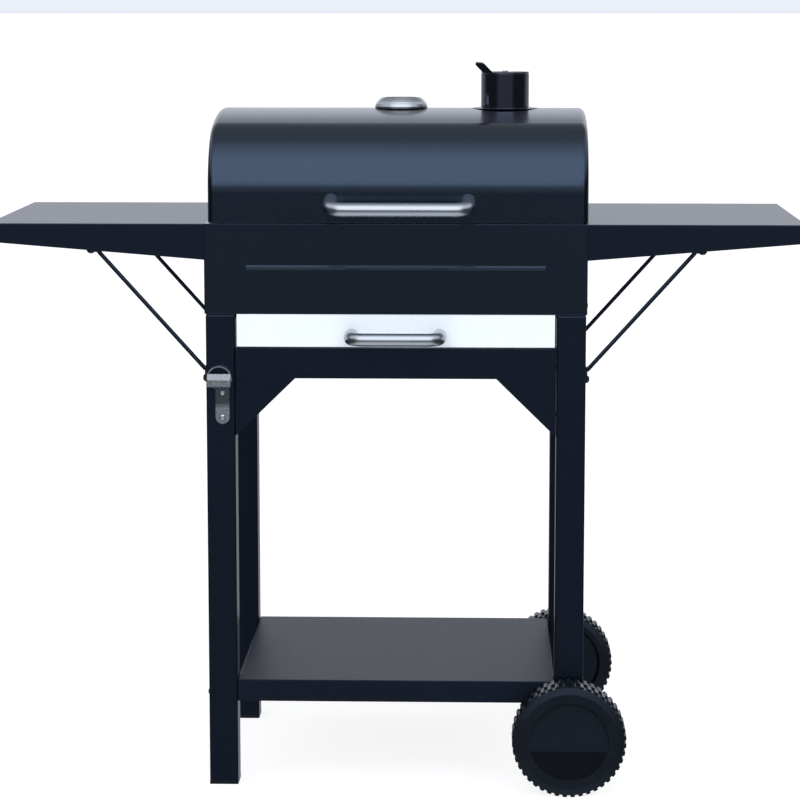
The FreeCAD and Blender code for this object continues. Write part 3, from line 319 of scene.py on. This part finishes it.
def dress_cad_nodes():
    """Give each CAD node its own finish, or else the detailed material of its slot."""
    for part in frame["record"]["subparts"]:
        mesh = nodes[part["node"]].data
        mesh.materials.clear()
        mesh.materials.append(materials[finishes.get(part["node"], part["material_slot"])])


# ---------------------------------------------------------------- stage


floor_half = 500.0
floor_glow = 0.86


def add_floor():
    """A pale matt floor that gives off some light of its own, so that it comes out white."""
    mesh = bpy.data.meshes.new("floor")
    corners = [
        (-floor_half, -floor_half, 0),
        (floor_half, -floor_half, 0),
        (floor_half, floor_half, 0),
        (-floor_half, floor_half, 0),
    ]
    mesh.from_pydata(corners, [], [(0, 1, 2, 3)])
    floor = bpy.data.objects.new("floor", mesh)
    scene.collection.objects.link(floor)
    g = Graph("studio_floor")
    g.colour(g.blend(g.noise(2.0, 3.0), (0.24, 0.24, 0.24), (0.26, 0.26, 0.26)))
    g.set(Roughness=0.9, Specular_IOR_Level=0.0)
    g.set(Emission_Color=(1.0, 1.0, 1.0, 1.0), Emission_Strength=floor_glow)
    mesh.materials.append(g.material)
    # Reflections pass through the floor and show the lower half of the studio light instead.
    floor.visible_glossy = False


# How bright the studio is from the front horizon (0) over the top (90) to the back (180).
studio_arch = [
    (0.0, 0.28),
    (5.0, 0.33),
    (10.0, 2.05),
    (54.0, 2.1),
    (64.0, 1.65),
    (76.0, 1.30),
    (90.0, 0.66),
    (102.0, 0.52),
    (118.0, 0.40),
    (140.0, 0.30),
    (150.0, 0.66),
    (158.0, 1.06),
    (172.0, 0.98),
    (180.0, 0.88),
]
brightest = max(level for degrees, level in studio_arch)
studio_tint = (0.95, 1.0, 1.10, 1.0)

# Brightness of the side walls, low and high, and of what reflections see below the horizon:
# in front, straight down, to the sides and behind.
side_low = 0.07
side_high = 1.0
front_floor = 0.25
near_floor = 0.95
side_floor = 0.07
back_floor = 0.5

# Where each part of the studio fades into the next, as a share of a unit direction.
side_fade = (0.45, 0.75)
side_height_fade = (0.1, 0.5)
down_fade = (0.35, 0.75)
back_fade = (0.2, 0.6)
horizon_fade = (-0.03, 0.0)


def add_world():
    """A studio with a wide softbox over the camera, a pale back wall and a dark front."""
    world = bpy.data.worlds.new("studio")
    scene.world = world
    world.use_nodes = True
    tree = world.node_tree
    tree.nodes.clear()
    output = tree.nodes.new("ShaderNodeOutputWorld")
    background = tree.nodes.new("ShaderNodeBackground")
    direction = tree.nodes.new("ShaderNodeTexCoord").outputs["Generated"]
    split = tree.nodes.new("ShaderNodeSeparateXYZ")
    tree.links.new(direction, split.inputs["Vector"])

    def maths(operation, *values):
        node = tree.nodes.new("ShaderNodeMath")
        node.operation = operation
        for socket, value in zip(node.inputs, values):
            if isinstance(value, (int, float)):
                socket.default_value = value
            else:
                tree.links.new(value, socket)
        return node.outputs["Value"]

    def fade(value, start, end):
        node = tree.nodes.new("ShaderNodeMapRange")
        node.interpolation_type = "SMOOTHSTEP"
        node.inputs["From Min"].default_value = start
        node.inputs["From Max"].default_value = end
        tree.links.new(value, node.inputs["Value"])
        return node.outputs["Result"]

    def mixed(share, first, second):
        rest = maths("SUBTRACT", 1.0, share)
        return maths("ADD", maths("MULTIPLY", first, rest), maths("MULTIPLY", second, share))

    forwards = maths("MULTIPLY", split.outputs["Y"], -1.0)
    raised = maths("MAXIMUM", split.outputs["Z"], 0.0)
    angle = maths("DIVIDE", maths("ARCTAN2", raised, forwards), math.pi)
    ramp = tree.nodes.new("ShaderNodeValToRGB")
    stops = ramp.color_ramp.elements
    while len(stops) < len(studio_arch):
        stops.new(0.5)
    for stop, (degrees, level) in zip(stops, studio_arch):
        stop.position = degrees / 180.0
        share = level / brightest
        stop.color = (share, share, share, 1.0)
    tree.links.new(angle, ramp.inputs["Fac"])
    arch = maths("MULTIPLY", ramp.outputs["Color"], brightest)
    side_share = fade(maths("ABSOLUTE", split.outputs["X"]), *side_fade)
    side = mixed(fade(split.outputs["Z"], *side_height_fade), side_low, side_high)
    above = mixed(side_share, arch, side)
    downwards = maths("MULTIPLY", split.outputs["Z"], -1.0)
    lower = mixed(fade(downwards, *down_fade), front_floor, near_floor)
    beside = mixed(side_share, lower, side_floor)
    below = mixed(fade(split.outputs["Y"], *back_fade), beside, back_floor)
    level = mixed(fade(split.outputs["Z"], *horizon_fade), below, above)
    background.inputs["Color"].default_value = studio_tint
    tree.links.new(level, background.inputs["Strength"])
    tree.links.new(background.outputs["Background"], output.inputs["Surface"])


camera_place = (0.1318, -4.2685, 1.164)
camera_lens = 126.08
camera_down = 8.18
camera_turn = 1.77


def add_camera():
    """A long lens in front of the cart, tilted down and turned a little; both angles in degrees."""
    data = bpy.data.cameras.new("camera")
    data.sensor_width = 36.0
    data.lens = camera_lens
    camera = bpy.data.objects.new("camera", data)
    scene.collection.objects.link(camera)
    camera.location = camera_place
    camera.rotation_euler = (math.radians(90 - camera_down), 0.0, math.radians(camera_turn))
    data.clip_end = 200.0
    scene.camera = camera


add_camera()
add_world()
add_floor()
dress_cad_nodes()
scene.view_settings.view_transform = "Standard"
